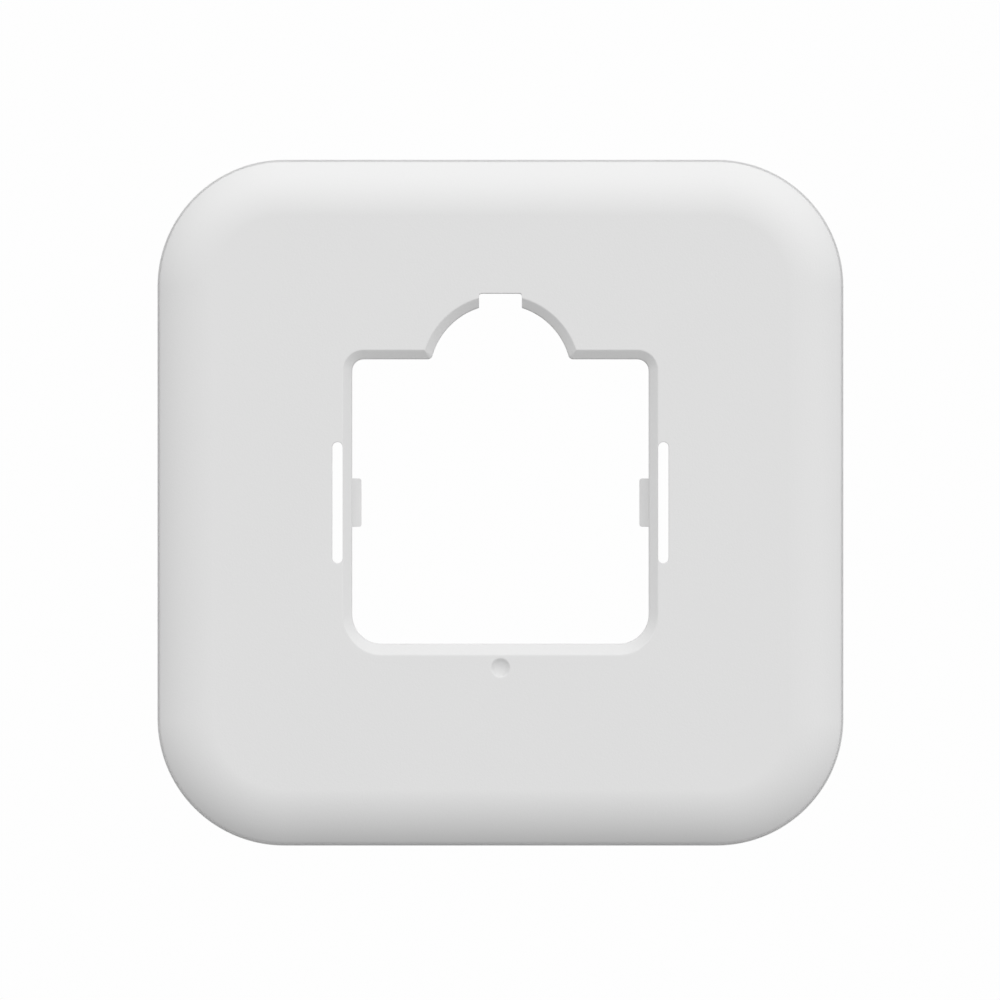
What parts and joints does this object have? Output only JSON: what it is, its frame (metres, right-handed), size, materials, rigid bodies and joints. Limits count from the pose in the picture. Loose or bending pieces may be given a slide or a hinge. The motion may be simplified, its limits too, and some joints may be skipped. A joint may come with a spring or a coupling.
{
  "type": "device trim plate",
  "caption": "Square domed push-on cover plate with a see-through device opening, sprung latch arms and a screw-down base frame.",
  "frame": {"origin": "centre of the four corner screw holes, on the mounting surface behind the base frame", "axes": "+Y into the wall or ceiling, -Y out of the cover's face, +Z towards the opening's lobe, +X to the right seen from the front"},
  "size_m": [0.125, 0.01, 0.125],
  "materials": {
    "cover_plastic": "fine matt white moulding",
    "frame_plastic": "matt light grey moulding",
    "clip_plastic": "matt light grey moulding",
    "seal_foam": "closed-cell foam strip"
  },
  "bodies": {
    "base": {"base_frame": "frame_plastic", "seal_ring": "seal_foam"},
    "cover": {"cover_plate": "cover_plastic"},
    "left_latch": {"left_latch_arm": "cover_plastic"},
    "right_latch": {"right_latch_arm": "cover_plastic"},
    "top_catch": {"top_clip": "clip_plastic"},
    "left_catch": {"left_clip": "clip_plastic"},
    "bottom_catch": {"bottom_clip": "clip_plastic"},
    "right_catch": {"right_clip": "clip_plastic"}
  },
  "joints": [
    {"name": "cover_release", "type": "slide", "parent": "base", "child": "cover", "axis": [0, -1, 0], "range_m": [0, 0.025]},
    {"name": "left_latch_bend", "type": "slide", "parent": "cover", "child": "left_latch", "axis": [-1, 0, 0], "range_m": [0, 0.0012], "stiffness_N_per_m": 20000},
    {"name": "right_latch_bend", "type": "slide", "parent": "cover", "child": "right_latch", "axis": [1, 0, 0], "range_m": [0, 0.0012], "stiffness_N_per_m": 20000},
    {"name": "top_clip_bend", "type": "hinge", "parent": "base", "child": "top_catch", "pos_m": [-0.009, -0.00375, 0.0577], "axis": [0, 1, 0], "range_deg": [0, 2.5], "stiffness_Nm_per_rad": 0.16},
    {"name": "left_clip_bend", "type": "hinge", "parent": "base", "child": "left_catch", "pos_m": [-0.0577, -0.00375, -0.009], "axis": [0, 1, 0], "range_deg": [0, 2.5], "stiffness_Nm_per_rad": 0.16},
    {"name": "bottom_clip_bend", "type": "hinge", "parent": "base", "child": "bottom_catch", "pos_m": [0.009, -0.00375, -0.0577], "axis": [0, 1, 0], "range_deg": [0, 2.5], "stiffness_Nm_per_rad": 0.16},
    {"name": "right_clip_bend", "type": "hinge", "parent": "base", "child": "right_catch", "pos_m": [0.0577, -0.00375, 0.009], "axis": [0, 1, 0], "range_deg": [0, 2.5], "stiffness_Nm_per_rad": 0.16}
  ]
}
